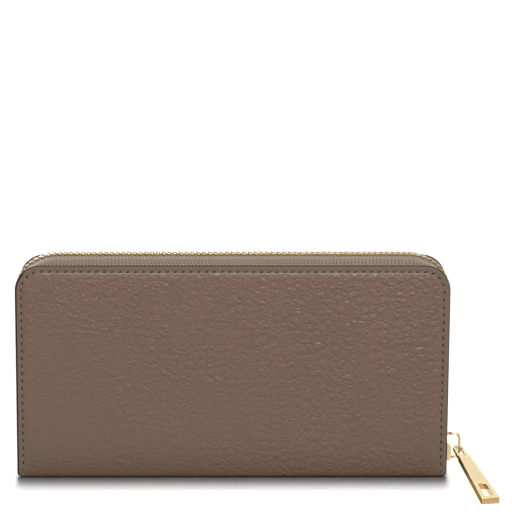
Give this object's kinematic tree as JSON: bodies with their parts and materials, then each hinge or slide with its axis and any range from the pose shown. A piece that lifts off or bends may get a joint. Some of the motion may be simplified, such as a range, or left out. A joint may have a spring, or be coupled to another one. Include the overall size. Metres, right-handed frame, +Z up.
{
  "type": "zip around wallet",
  "caption": "Zip-around wallet standing closed on its spine, with hinged leather covers, a metal zip, card slots, banknote compartments and a zipped coin pocket.",
  "frame": {"origin": "middle of the spine's flat resting face, on which the closed wallet stands", "axes": "+X along the wallet towards the end where the zip closes, -Y out of the front cover, +Z up from the spine to the zipped top edge"},
  "size_m": [0.2152, 0.0634, 0.1024],
  "materials": {
    "hide": "pebble-grained taupe hide with smooth pressed border and dark painted edge",
    "slot_leather": "fine-grained thin taupe leather, satin",
    "board": "bonded fibre stiffener, matt",
    "lining": "woven twill lining, matt",
    "zip_tape": "woven herringbone tape, matt",
    "thread": "dark brown waxed thread",
    "gold": "pale gold plating, polished"
  },
  "bodies": {
    "spine": {"spine_leather": "hide", "spine_lining": "lining", "coin_pocket_bag": "lining", "coin_zip_tape_front": "zip_tape", "coin_zip_tape_back": "zip_tape", "coin_zip_teeth_front": "gold", "coin_zip_teeth_back": "gold", "coin_zip_stop_left": "gold", "coin_zip_stop_right": "gold", "zip_bottom_stop": "gold", "gusset_front_left": "hide", "gusset_front_right": "hide", "gusset_back_left": "hide", "gusset_back_right": "hide"},
    "front_cover": {"front_cover_leather": "hide", "front_cover_board": "board", "front_lining": "lining", "front_zip_tape": "zip_tape", "front_zip_teeth": "gold", "front_stitching": "thread", "front_zip_top_stop": "gold", "card_slot_front_left_1": "slot_leather", "card_slot_front_left_2": "slot_leather", "card_slot_front_left_3": "slot_leather", "card_slot_front_left_4": "slot_leather", "card_slot_front_right_1": "slot_leather", "card_slot_front_right_2": "slot_leather", "card_slot_front_right_3": "slot_leather", "card_slot_front_right_4": "slot_leather"},
    "back_cover": {"back_cover_leather": "hide", "back_cover_board": "board", "back_lining": "lining", "back_zip_tape": "zip_tape", "back_zip_teeth": "gold", "back_stitching": "thread", "back_zip_top_stop": "gold", "card_slot_back_left_1": "slot_leather", "card_slot_back_left_2": "slot_leather", "card_slot_back_left_3": "slot_leather", "card_slot_back_left_4": "slot_leather", "slip_pocket_back_right": "slot_leather"},
    "zip_slider": {"zip_slider_body": "gold", "zip_slider_bail": "gold"},
    "zip_pull": {"zip_pull": "gold"},
    "coin_slider": {"coin_slider_body": "gold", "coin_pull_pin": "gold"},
    "coin_pull": {"coin_pull": "gold"}
  },
  "joints": [
    {"name": "front_cover_hinge", "type": "hinge", "parent": "spine", "child": "front_cover", "pos_m": [0, -0.0124, 0.00415], "axis": [1, 0, 0], "range_deg": [0, 25]},
    {"name": "back_cover_hinge", "type": "hinge", "parent": "spine", "child": "back_cover", "pos_m": [0, 0.0124, 0.00415], "axis": [-1, 0, 0], "range_deg": [0, 25]},
    {"name": "zip_slide", "type": "slide", "parent": "back_cover", "child": "zip_slider", "axis": [0, 0, 1], "range_m": [0, 0.066]},
    {"name": "zip_pull_swing", "type": "hinge", "parent": "zip_slider", "child": "zip_pull", "pos_m": [0.10438, 0, 0.0088], "axis": [-0.9848, -0.1736, 0], "range_deg": [-45, 50]},
    {"name": "coin_zip_slide", "type": "slide", "parent": "spine", "child": "coin_slider", "axis": [-1, 0, 0], "range_m": [0, 0.148]},
    {"name": "coin_pull_swing", "type": "hinge", "parent": "coin_slider", "child": "coin_pull", "pos_m": [0.074, 0, 0.0774], "axis": [0, 1, 0], "range_deg": [0, 190]}
  ]
}
